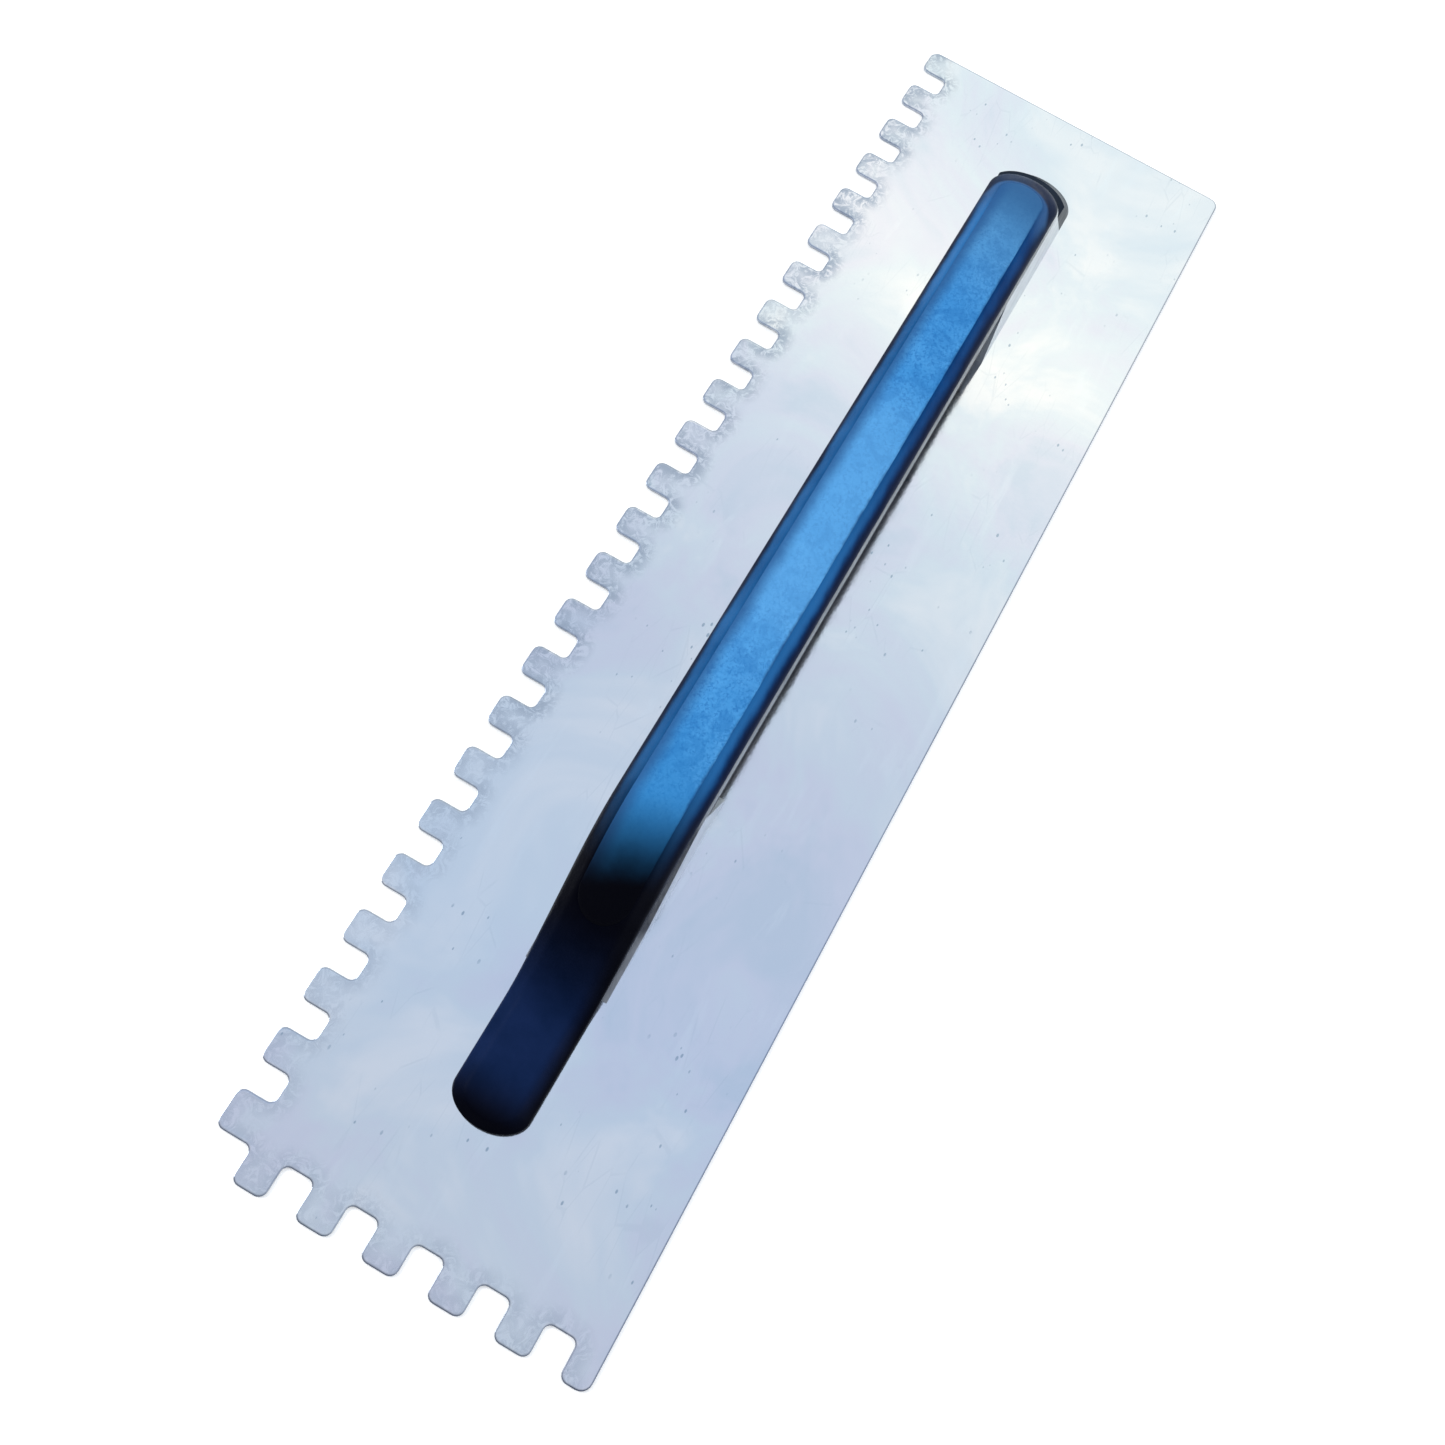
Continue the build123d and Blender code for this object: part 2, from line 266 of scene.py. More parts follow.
def blade_steel():
    """Thin rolled stainless sheet: cloudy, a little wavy, with pits, smears and painted shade along its
    punched edges.
    """
    look = Look("blade_steel")
    tones = look.ramp(look.cloud(13.0, 4.0, 0.60, 0.9), [
        (0.34, (0.63, 0.69, 0.76)),
        (0.44, (0.70, 0.72, 0.79)),
        (0.54, (0.70, 0.76, 0.80)),
        (0.66, (0.80, 0.82, 0.83)),
    ])
    smears = look.fade(look.cloud(1.0, 5.0, 0.6, 0.5, look.stretch((22.0, 120.0, 20.0), 0.5)), 0.55, 0.75)
    colour = look.mix(look.math("MULTIPLY", smears, 0.30), tones, (0.80, 0.86, 0.88))

    teeth = look.attribute("tooth_distance")
    breakup = look.cloud(260.0, 5.0, 0.70, 1.4)
    dirt = look.math("MULTIPLY", look.fade(teeth, 0.0010, 0.0075, 1.0, 0.0), look.fade(breakup, 0.38, 0.56))
    patches = look.fade(look.cloud(55.0, 3.0, 0.6), 0.36, 0.56, 0.45, 1.0)
    dirt = look.math("MULTIPLY", dirt, patches)
    dirt = look.math("MULTIPLY", dirt, look.fade(look.axis("X"), -0.150, -0.060, 0.45, 1.0))
    colour = look.mix(look.math("MULTIPLY", dirt, 0.75), colour, (0.30, 0.36, 0.44))

    clusters = look.fade(look.cloud(24.0, 3.0, 0.6), 0.50, 0.58)
    size = look.fade(look.cloud(90.0, 3.0, 0.6), 0.35, 0.65, -0.08, 0.06)
    pits = look.math("SUBTRACT", look.cells(170.0, place=look.stretch((1.0, 1.9, 1.0), 0.7)), size)
    pits = look.fade(pits, 0.04, 0.12, 1.0, 0.0)
    pits = look.math("MULTIPLY", pits, clusters)
    colour = look.mix(look.math("MULTIPLY", pits, 0.7), colour, (0.26, 0.36, 0.44))
    scratches = look.cells(60.0, "DISTANCE_TO_EDGE", look.stretch((0.5, 2.4, 1.0), 0.9))
    scratches = look.math("MULTIPLY", look.fade(scratches, 0.006, 0.018, 1.0, 0.0), clusters)
    colour = look.mix(look.math("MULTIPLY", scratches, 0.12), colour, (0.45, 0.53, 0.60))

    # Painted shade: the steel is darker within a fraction of a millimetre of its outline, a little less along
    # the teeth.
    edge = look.fade(look.attribute("edge_distance"), 0.00020, 0.00060, 1.0, 0.0)
    edge = look.math("MULTIPLY", edge, look.fade(teeth, 0.0008, 0.0020, 0.50, 0.85))
    colour = look.mix(edge, colour, (0.15, 0.18, 0.25))

    roughness = look.fade(look.cloud(60.0, 4.0, 0.6), 0.3, 0.7, 0.05, 0.10)
    roughness = look.math("ADD", roughness, look.math("MULTIPLY", dirt, 0.25))
    waves = look.bump(look.cloud(13.0, 1.5, 0.5, 0.4), 0.30, 0.0009)
    grain = look.bump(look.cloud(420.0, 3.0, 0.6), 0.05, 0.0002, waves)
    normal = look.bump(pits, -0.5, 0.0003, grain)
    normal = look.bump(dirt, -0.4, 0.0002, normal)
    return look.finish(colour, roughness, normal, Metallic=1.0)


def cast_metal():
    """Satin aluminium of the bridge."""
    look = Look("bridge_metal")
    colour = look.ramp(look.cloud(90.0, 4.0, 0.6), [
        (0.35, (0.60, 0.63, 0.66)),
        (0.65, (0.72, 0.75, 0.78)),
    ])
    streaks = look.cloud(1.0, 3.0, 0.5, 0.0, look.stretch((40.0, 900.0, 900.0)))
    roughness = look.fade(streaks, 0.3, 0.7, 0.30, 0.44)
    normal = look.bump(streaks, 0.15, 0.0002)
    normal = look.bump(look.cloud(1500.0, 2.0), 0.1, 0.0001, normal)
    return look.finish(colour, roughness, normal, Metallic=1.0)


def grip_places(look):
    """Distance from the handle's middle line to either side, and along the handle, in metres."""
    return look.math("SUBTRACT", look.axis("Y"), HANDLE_Y * MM), look.axis("X")


def tail_shade(look, across, along):
    """Painted shade on the grip's rear end: a darker blue inside, nearly black at its rim."""
    middle = (TAIL_X - TAIL_REACH - HANDLE_TOP + BASE) * MM
    back = look.math("DIVIDE", look.math("SUBTRACT", along, middle), TAIL_REACH * MM)
    back = look.math("MAXIMUM", back, 0.0)
    side = look.math("DIVIDE", across, HALF_WIDTH * MM)
    squares = look.math("ADD", look.math("POWER", back, 2.0), look.math("MULTIPLY", side, side))
    rim_shade = look.fade(look.math("SQRT", squares), 0.80, 1.0)
    return look.mix(rim_shade, (0.030, 0.095, 0.225), (0.002, 0.008, 0.028))


def shell_plastic():
    """Moulded plastic: blue along the grip with lit and shaded sides and paler painted highlights beside the
    pad, and painted shade making it nearly black on the slope, its sides, its lower flanks, the tip of the
    nose and its rear rim.
    """
    look = Look("shell_plastic")
    across, along = grip_places(look)
    wear = look.cloud(70.0, 4.0, 0.6)
    drift = look.math("MULTIPLY", look.math("SUBTRACT", look.cloud(55.0, 4.0, 0.65), 0.5), 0.0022)
    across = look.math("ADD", across, drift)
    # Painted light: the plus-y side of the grip gets a lighter blue and the minus-y side a darker one, lit
    # and shaded copies of one blue.
    painted_lit_side = look.ramp(wear, [(0.3, (0.008, 0.068, 0.195)), (0.7, (0.017, 0.104, 0.270))])
    painted_shaded_side = look.ramp(wear, [(0.3, (0.002, 0.028, 0.115)), (0.7, (0.004, 0.053, 0.185))])
    blue = look.mix(look.fade(across, -0.002, 0.002), painted_shaded_side, painted_lit_side)
    # Painted shade: both outer sides of the shell darken to nearly black.
    toothed_side_shade = look.fade(across, 0.0102, 0.0120)
    blue = look.mix(toothed_side_shade, blue, (0.003, 0.008, 0.026))
    plain_side_shade = look.fade(across, -0.0120, -0.0095, 1.0, 0.0)
    blue = look.mix(plain_side_shade, blue, (0.001, 0.006, 0.028))

    # Painted highlights, paler bands beside the pad: towards the plain edge at the front, towards the teeth
    # at the rear
    plain_side_highlight = look.band(across, (-0.0112, -0.0090), (-0.002, 0.002))
    plain_side_highlight = look.math("MULTIPLY", plain_side_highlight, look.fade(along, -0.020, 0.060, 0.65, 0.0))
    blue = look.mix(plain_side_highlight, blue, (0.022, 0.150, 0.380))
    toothed_side_highlight = look.band(across, (-0.002, 0.002), (0.0092, 0.0112))
    toothed_side_highlight = look.math("MULTIPLY", toothed_side_highlight, look.fade(along, 0.070, 0.110, 0.0, 0.70))
    blue = look.mix(toothed_side_highlight, blue, (0.034, 0.165, 0.400))
    # Painted shade: the blue gives way to the darker rear end.
    blue = look.mix(look.fade(along, 0.126, 0.142, 0.0, 0.9), blue, tail_shade(look, across, along))

    navy = look.ramp(wear, [(0.3, (0.004, 0.013, 0.048)), (0.7, (0.0075, 0.019, 0.068))])
    # Painted shade: nearly black ahead of the grip's level top, over the slope, the foot and the nose's tip.
    front_shade = look.ramp(wear, [(0.3, (0.0012, 0.0014, 0.0036)), (0.7, (0.0026, 0.0030, 0.0066))])
    colour = look.mix(look.fade(along, -0.122, -0.080), front_shade, blue)
    # Navy on the nose top; its minus-y side and tip are left nearly black, painted shade.
    nose = look.band(along, (-0.192, -0.176), (-0.165, -0.130))
    nose = look.math("MULTIPLY", nose, look.fade(across, -0.0125, -0.0060))
    colour = look.mix(nose, colour, navy)
    # Painted shade: the lower part of the sides, behind the slope, darkens to nearly black.
    low_side_shade = look.fade(look.axis("Z"), 0.044, 0.050, 1.0, 0.0)
    low_side_shade = look.math("MULTIPLY", low_side_shade, look.fade(along, -0.112, -0.090))
    colour = look.mix(look.math("MULTIPLY", low_side_shade, 0.9), colour, (0.001, 0.002, 0.007))
    grain = look.cells(1100.0)
    roughness = look.fade(look.cloud(120.0, 3.0), 0.3, 0.7, 0.34, 0.46)
    normal = look.bump(grain, 0.12, 0.0002)
    return look.finish(colour, roughness, normal, Specular_IOR_Level=0.01)


def pad_rubber():
    """Azure soft-touch rubber with a leathery grain, painted shade in the grain's hollows, along its sides,
    at its rear end and fading it to black at the front of the grip, and a painted highlight along its middle.
    """
    look = Look("pad_rubber")
    across, along = grip_places(look)
    azure = look.ramp(look.cloud(28.0, 4.0, 0.6, 0.4), [
        (0.30, (0.052, 0.268, 0.590)),
        (0.50, (0.078, 0.325, 0.660)),
        (0.70, (0.110, 0.375, 0.710)),
    ])
    pebbles = look.cells(1150.0, "SMOOTH_F1")
    creases = look.cloud(900.0, 4.0, 0.7, 0.8)
    # Painted shade: the azure is darker in the hollows between the pebbles and in the creases.
    azure = look.mix(look.fade(pebbles, 0.30, 0.80, 0.0, 0.55), azure, (0.030, 0.200, 0.500))
    azure = look.mix(look.fade(creases, 0.50, 0.62, 0.0, 0.60), azure, (0.018, 0.130, 0.380))
    bloom = look.fade(look.cloud(34.0, 3.0, 0.6, 0.6), 0.40, 0.62, 0.0, 0.35)
    azure = look.mix(bloom, azure, (0.035, 0.215, 0.520))
    smudges = look.fade(look.cloud(125.0, 4.0, 0.65, 0.8), 0.47, 0.62, 0.0, 0.50)
    azure = look.mix(smudges, azure, (0.026, 0.175, 0.450))
    # Darker and greyer towards the rear; painted shade at the very end, where the grip turns down into its
    # tail.
    rear = look.fade(along, 0.085, 0.135)
    azure = look.mix(look.math("MULTIPLY", rear, 0.62), azure, (0.075, 0.220, 0.400))
    azure = look.mix(look.fade(along, 0.120, 0.146, 0.0, 0.85), azure, (0.028, 0.100, 0.235))
    # Painted highlight: the middle of the pad is lighter.
    middle_highlight = look.math("MULTIPLY", look.band(along, (-0.065, -0.020), (0.030, 0.062)), 0.40)
    azure = look.mix(middle_highlight, azure, (0.150, 0.430, 0.760))
    # Painted shade: the azure darkens towards the front and fades to nearly black where the grip slopes down,
    # the line slanting across the pad.
    front = look.fade(along, -0.119, -0.065, 0.0, 1.0)
    azure = look.mix(front, (0.028, 0.205, 0.480), azure)
    # Painted shade: the pad darkens towards both of its sides, more deeply on the minus-y side.
    drift = look.math("SUBTRACT", look.cloud(70.0, 4.0, 0.65), 0.5)
    edge = look.math("ADD", across, look.math("MULTIPLY", drift, 0.003))
    azure = look.mix(look.fade(edge, 0.0030, 0.0084, 0.0, 0.9), azure, (0.026, 0.100, 0.255))
    azure = look.mix(look.fade(edge, -0.0084, -0.0072, 0.8, 0.0), azure, (0.008, 0.050, 0.170))
    place = look.math("ADD", along, look.math("MULTIPLY", drift, 0.005))
    place = look.math("ADD", place, look.math("MULTIPLY", across, 0.45))
    front_shade = look.fade(place, -0.1240, -0.0960, 1.0, 0.0)
    colour = look.mix(front_shade, azure, (0.0016, 0.0018, 0.0042))
    roughness = look.fade(pebbles, 0.2, 0.8, 0.42, 0.58)
    normal = look.bump(pebbles, -0.45, 0.0004)
    normal = look.bump(creases, -0.25, 0.0003, normal)
    return look.finish(colour, roughness, normal, Specular_IOR_Level=0.02)


def lower_rubber():
    """Dark moulded rubber under the plate."""
    look = Look("lower_grip_rubber")
    colour = look.ramp(look.cloud(80.0, 4.0, 0.6), [
        (0.3, (0.004, 0.005, 0.009)),
        (0.7, (0.009, 0.011, 0.018)),
    ])
    pebbles = look.cells(950.0, "SMOOTH_F1")
    normal = look.bump(pebbles, -0.3, 0.0003)
    return look.finish(colour, look.fade(pebbles, 0.2, 0.8, 0.45, 0.6), normal, Specular_IOR_Level=0.2)


def heel_plastic():
    """Dark slate plastic of the heel cap."""
    look = Look("heel_plastic")
    colour = look.ramp(look.cloud(80.0, 4.0, 0.6), [
        (0.3, (0.005, 0.011, 0.022)),
        (0.7, (0.010, 0.019, 0.034)),
    ])
    roughness = look.fade(look.cloud(150.0, 3.0), 0.3, 0.7, 0.35, 0.46)
    normal = look.bump(look.cells(1000.0), 0.1, 0.0002)
    return look.finish(colour, roughness, normal, Specular_IOR_Level=0.10)


def fastener_metal(name, dark, light, roughness):
    """Turned or stamped metal of a small part."""
    look = Look(name)
    colour = look.ramp(look.cloud(300.0, 4.0, 0.6), [(0.3, dark), (0.7, light)])
    scuffs = look.cloud(1.0, 3.0, 0.6, 0.0, look.stretch((1500.0, 300.0, 900.0)))
    finish = look.fade(scuffs, 0.3, 0.7, roughness, roughness + 0.15)
    return look.finish(colour, finish, look.bump(scuffs, 0.1, 0.0001), Metallic=1.0)


def floor_paint():
    """Plain pale floor that gives a little light of its own."""
    look = Look("floor_paint")
    colour = look.ramp(look.cloud(6.0, 2.0), [(0.3, (0.975, 0.960, 0.925)), (0.7, (0.985, 0.970, 0.935))])
    return look.finish(colour, look.fade(look.cloud(30.0), 0.3, 0.7, 0.75, 0.85), Specular_IOR_Level=0.2,
                       Emission_Color=(1.0, 1.0, 0.97, 1.0), Emission_Strength=0.25)


def new_piece(name, points, faces, material):
    """Mesh object that rides on the trowel's one body. Points are in millimetres."""
    mesh = bpy.data.meshes.new(name)
    mesh.from_pydata([Vector(point) * MM for point in points], [], faces)
    mesh.validate()
    mesh.materials.append(material)
    piece = bpy.data.objects.new(name, mesh)
    bpy.context.scene.collection.objects.link(piece)
    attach(piece, "root")
    return piece


def shade_smooth(piece, angle=None):
    """Smooth shading, with edges sharper than the angle kept crisp."""
    for polygon in piece.data.polygons:
        polygon.use_smooth = True
    if angle is not None:
        piece.data.set_sharp_from_angle(angle=math.radians(angle))


def blade_corners():
    """Corners of the blade, counter-clockwise: x, y, radius, whether convex, whether on the teeth."""
    left, right = blade_low.x, blade_high.x
    front, back = blade_low.y, blade_high.y
    corners = [
        (left, front, CORNER_RADIUS, True, False),
        (right, front, CORNER_RADIUS, True, False),
        (right, back, CORNER_RADIUS, True, True),
    ]
    for index in reversed(range(LONG_NOTCHES)):
        middle = left + LONG_START + index * LONG_PITCH
        high, low = middle + LONG_WIDTH / 2, middle - LONG_WIDTH / 2
        corners.append((high, back, TIP_RADIUS, True, True))
        corners.append((high, back - LONG_DEPTH, ROOT_RADIUS, False, True))
        corners.append((low, back - LONG_DEPTH, ROOT_RADIUS, False, True))
        corners.append((low, back, TIP_RADIUS, True, True))
    corners.append((left + CUT_X, back, TIP_RADIUS, True, True))
    corners.append((left + CUT_X, back - CUT_Y, ROOT_RADIUS, False, True))
    corners.append((left, back - CUT_Y, TIP_RADIUS, True, True))
    for index in reversed(range(SHORT_NOTCHES)):
        middle = front + SHORT_START + index * SHORT_PITCH
        high, low = middle + SHORT_WIDTH / 2, middle - SHORT_WIDTH / 2
        corners.append((left, high, TIP_RADIUS, True, True))
        corners.append((left + SHORT_DEPTH, high, ROOT_RADIUS, False, True))
        corners.append((left + SHORT_DEPTH, low, ROOT_RADIUS, False, True))
        corners.append((left, low, TIP_RADIUS, True, True))
    return corners


def blade_loop(offset):
    """The blade's outline moved inward by an offset, as points, and whether each point is on the teeth."""
    corners = blade_corners()
    places = [Vector(corner[:2]) for corner in corners]
    count = len(corners)
    moved = []
    ways = []
    for index in range(count):
        back_way = (places[index - 1] - places[index]).normalized()
        next_way = (places[(index + 1) % count] - places[index]).normalized()
        convex = corners[index][3]
        inward = (back_way + next_way) * (1 if convex else -1)
        moved.append(places[index] + inward * offset)
        ways.append((back_way, next_way))
    points = []
    toothed = []
    for index in range(count):
        radius = corners[index][2] + (-offset if corners[index][3] else offset)
        back_way, next_way = ways[index]
        centre = moved[index] + radius * (back_way + next_way)
        for step in range(ARC_STEPS + 1):
            turn = math.pi / 2 * step / ARC_STEPS
            points.append(centre - radius * (math.cos(turn) * next_way + math.sin(turn) * back_way))
            toothed.append(corners[index][4])
        following = (index + 1) % count
        run = (places[following] - places[index]).length
        start = points[-1]
        after = corners[following][2] + (-offset if corners[following][3] else offset)
        end = moved[following] + after * ways[following][0]
        cuts = max(1, round(run / EDGE_STEP))
        for cut in range(1, cuts):
            points.append(start.lerp(end, cut / cuts))
            toothed.append(corners[index][4] and corners[following][4])
    return points, toothed


def inner_grid():
    """Points spread evenly inside the blade, clear of its edges."""
    points = []
    spacing = INNER_SPACING
    rows = int((blade_high.y - blade_low.y) / spacing) + 1
    columns = int((blade_high.x - blade_low.x) / spacing) + 1
    for row in range(rows):
        for column in range(columns):
            x = blade_low.x + (column + 0.5 * (row % 2)) * spacing
            points.append(Vector((x, blade_low.y + row * spacing)))
    return points


def nearest(points, targets):
    """Distance from each point to the nearest target."""
    found = []
    targets = np.array([tuple(target) for target in targets])
    for point in points:
        found.append(float(np.sqrt(((targets - np.array(tuple(point))) ** 2).sum(axis=1).min())))
    return found


def point_inside(point, loop):
    """Whether a point lies inside a closed loop."""
    inside = False
    for index, end in enumerate(loop):
        start = loop[index - 1]
        if (start.y > point.y) != (end.y > point.y):
            crossing = start.x + (point.y - start.y) / (end.y - start.y) * (end.x - start.x)
            if crossing > point.x:
                inside = not inside
    return inside


def ring(x, radius):
    """Points of a circle on the handle's middle line."""
    turns = [2 * math.pi * step / RING_POINTS for step in range(RING_POINTS)]
    return [Vector((x + radius * math.cos(turn), HANDLE_Y + radius * math.sin(turn))) for turn in turns]


def in_circle(point, circle):
    """Whether a point lies inside a circle of points."""
    middle = sum(circle, Vector((0, 0))) / len(circle)
    radius = (circle[0] - circle[len(circle) // 2]).length / 2
    return (point - middle).length < radius


def fill_face(loop, rings, inside):
    """Fill between a loop and the rings in it, through the points inside: points and triangles."""
    points = list(loop)
    edges = [(index, (index + 1) % len(loop)) for index in range(len(loop))]
    for circle in rings:
        start = len(points)
        points += circle
        edges += [(start + index, start + (index + 1) % len(circle)) for index in range(len(circle))]
    points += inside
    filled = delaunay_2d_cdt(points, edges, [list(range(len(loop)))], 1, 0.0001)
    sources = [origin[0] for origin in filled[3]]
    triangles = []
    for triangle in filled[2]:
        middle = sum((filled[0][corner] for corner in triangle), Vector((0, 0))) / 3
        if not any(in_circle(middle, circle) for circle in rings):
            triangles.append([sources[corner] for corner in triangle])
    return points, triangles


def sheet_height(point):
    """Top of the sheet, which isn't quite flat."""
    wave = noise.noise(Vector((point.x / WAVE_LENGTH_X, point.y / WAVE_LENGTH_Y, WAVE_SEED)))
    return BASE - WAVE_HEIGHT * (1 + wave)


def rivet_places():
    """Places of the rivets along the blade."""
    boxes = [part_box(f"blade_rivet_{number}") for number in range(1, RIVET_COUNT + 1)]
    return [round((low.x + high.x) / 2 / MM, 1) for low, high in boxes]


def store_distances(blade, points, outline, toothed):
    """Store each point's distance from the blade's outline and from its teeth, for the material."""
    flat_points = [Vector((point[0], point[1])) for point in points]
    edge = []
    teeth = []
    for index, start in enumerate(outline):
        following = (index + 1) % len(outline)
        for step in range(OUTLINE_CUTS):
            point = start.lerp(outline[following], step / OUTLINE_CUTS)
            edge.append(point)
            if toothed[index] and toothed[following]:
                teeth.append(point)
    for name, targets in (("edge_distance", edge), ("tooth_distance", teeth)):
        values = [gap * MM for gap in nearest(flat_points, targets)]
        store = blade.data.attributes.new(name, "FLOAT", "POINT")
        store.data.foreach_set("value", values)


def make_blade(material):
    """Toothed sheet with rolled-over punched edges, a slightly wavy top and a countersink for each rivet."""
    profile = [(INNER_OFFSET, 0.0)] + EDGE_PROFILE
    loops = [blade_loop(offset)[0] for offset, height in profile]
    boundary, toothed = blade_loop(INNER_OFFSET)
    size = len(boundary)
    points = []
    for (offset, height), loop in zip(profile, loops):
        points += [Vector((point.x, point.y, height)) for point in loop]
    for loop in (blade_loop(FLANK_OFFSET)[0], boundary):
        points += [Vector((point.x, point.y, sheet_height(point))) for point in loop]
    rows = len(points) // size
    faces = []
    for row in range(rows - 1):
        for index in range(size):
            following = (index + 1) % size
            low, high = row * size, (row + 1) * size
            faces.append((low + index, low + following, high + following, high + index))

    rivets = rivet_places()
    heads = [Vector((x, HANDLE_Y)) for x in rivets]
    candidates = inner_grid()
    fringe = nearest(candidates, boundary)
    inside = [point for point, gap in zip(candidates, fringe) if gap > INNER_MARGIN]
    inside = [point for point in inside if point_inside(point, boundary)]
    clear = [point for point in inside if min(nearest([point], heads)) > RIVET_MARGIN]
    ring_starts = []
    for is_top in (False, True):
        radius = RIVET_HEAD_RADIUS + RIVET_GAP - (BASE if is_top else 0.0)
        flat, triangles = fill_face(boundary, [ring(x, radius) for x in rivets], clear)
        loop_start = (rows - 1) * size if is_top else 0
        start = len(points)
        ring_starts.append(start)
        for point in flat[size:]:
            points.append(Vector((point.x, point.y, sheet_height(point) if is_top else 0.0)))
        for triangle in triangles:
            corners = [loop_start + corner if corner < size else start + corner - size for corner in triangle]
            faces.append(corners if is_top else corners[::-1])
    low_rings, top_rings = ring_starts
    for index in range(len(rivets) * RING_POINTS):
        first = index - index % RING_POINTS
        following = first + (index + 1) % RING_POINTS
        faces.append((low_rings + following, low_rings + index, top_rings + index, top_rings + following))

    blade = new_piece("blade_sheet", points, faces, material)
    outline = blade_loop(0.0)[0]
    store_distances(blade, points, outline, toothed)
    shade_smooth(blade, 40)
    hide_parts("blade")


def smooth_max(first, second, width):
    """Larger of two numbers, blended where they are closer than the width."""
    overlap = max(width - abs(first - second), 0.0) / width
    return max(first, second) + overlap * overlap * width / 4


def smooth_min(first, second, width):
    """Smaller of two numbers, blended where they are closer than the width."""
    return -smooth_max(-first, -second, width)


def smooth_step(value, start, end):
    """0 before start, 1 after end, smooth between."""
    part = min(max((value - start) / (end - start), 0.0), 1.0)
    return part * part * (3 - 2 * part)


def top_height(x):
    """Top of the handle along its middle: low nose, slope, level grip."""
    ramp = NOSE_TOP + (x - SLOPE_START) * (HANDLE_TOP - NOSE_TOP) / (SLOPE_END - SLOPE_START)
    return smooth_min(HANDLE_TOP, smooth_max(NOSE_TOP, ramp, SLOPE_FOOT_BEND), SLOPE_TOP_BEND)


def seam_height(x):
    """Lower edge of the shell, where it meets the bridge."""
    low = smooth_max(BASE, FOOT_LOW + (x - FOOT_START) * FOOT_RISE / (FOOT_END - FOOT_START), 1.0)
    rise = smooth_max(low, FOOT_LOW + FOOT_RISE + (x - FOOT_END), 2.0)
    return smooth_min(SEAM_TOP, rise, 5.0)


def shell_rows():
    """Rows of the shell from its seam to its middle line: inward offset, and height as a share or a drop."""
    shares = (0.0, 0.04, 0.3, 0.6, 0.85)
    rows = [(SIDE_INSET + SEAM_INSET * (1 - share) ** 2, share, None) for share in shares]
    corner_start = Vector((SIDE_INSET, SHOULDER_DROP + SHOULDER_BEND))
    shoulder = Vector((SIDE_INSET, SHOULDER_DROP))
    crest = Vector((SHOULDER_EDGE, CREST_DROP))
    way = (crest - shoulder).normalized()
    rows += bend(corner_start, shoulder, shoulder + way * SHOULDER_BEND, 5)
    rows += [(point.x, None, point.y) for point in (shoulder.lerp(crest, 0.5), shoulder.lerp(crest, 0.7))]
    crest_edge = SHOULDER_EDGE + CREST_BEND_AFTER
    inner = Vector((crest_edge, crest_drop(crest_edge)))
    rows += bend(crest - way * CREST_BEND_BEFORE, crest, inner, 4)
    for step in range(1, CREST_STEPS + 1):
        offset = crest_edge + (HALF_WIDTH - crest_edge) * step / CREST_STEPS
        rows.append((offset, None, crest_drop(offset)))
    return rows


def crest_drop(offset):
    """Drop of the crowned top below its middle."""
    share = (HALF_WIDTH - offset) / (HALF_WIDTH - SHOULDER_EDGE)
    return CREST_DROP * share * share


def bend(start, corner, end, steps):
    """Rows along a rounded corner."""
    rows = []
    for step in range(steps + 1):
        part = step / steps
        point = start.lerp(corner, part).lerp(corner.lerp(end, part), part)
        rows.append((point.x, None, point.y))
    return rows


def shell_columns():
    """Columns around the shell: place along the side, side, and turn round an end."""
    nose_middle = NOSE_X + NOSE_REACH
    tail_middle = TAIL_X - TAIL_REACH
    columns = []
    for step in range(END_STEPS):
        columns.append((tail_middle, math.pi / 2 * step / END_STEPS, TAIL_REACH))
    for step in range(SIDE_STEPS):
        columns.append((tail_middle + (nose_middle - tail_middle) * step / SIDE_STEPS, math.pi / 2, 0.0))
    for step in range(2 * END_STEPS):
        columns.append((nose_middle, math.pi / 2 + math.pi * step / (2 * END_STEPS), NOSE_REACH))
    for step in range(SIDE_STEPS):
        columns.append((nose_middle + (tail_middle - nose_middle) * step / SIDE_STEPS, -math.pi / 2, 0.0))
    for step in range(END_STEPS):
        columns.append((tail_middle, -math.pi / 2 + math.pi / 2 * step / END_STEPS, TAIL_REACH))
    return columns


def shell_point(column, row):
    """A point of the shell's outer surface."""
    middle, turn, end_reach = column
    offset, share, drop = row
    inner = HALF_WIDTH - offset
    x = middle + math.cos(turn) * end_reach * inner / HALF_WIDTH
    y = math.sin(turn) * inner
    if abs(y) < PAD_HALF_WIDTH and end_reach == 0.0:
        bow = PAD_HALF_WIDTH * math.sqrt(1 - (y / PAD_HALF_WIDTH) ** 2)
        nearness = smooth_step(x, *PAD_BOW_RISE) * (1 - smooth_step(x, *PAD_BOW_FALL))
        x -= bow * nearness
    top = top_height(x)
    fullness = (top - NOSE_TOP) / (HANDLE_TOP - NOSE_TOP)
    squash = NOSE_SQUASH + (1 - NOSE_SQUASH) * fullness
    if share is None:
        z = top - drop * squash
    else:
        low = seam_height(x)
        high = top - (SHOULDER_DROP + SHOULDER_BEND) * squash
        z = low + (high - low) * share
    lean = smooth_step(x, LEAN_START, LEAN_END)
    return Vector((x - lean * (z - BASE), HANDLE_Y + y, z))


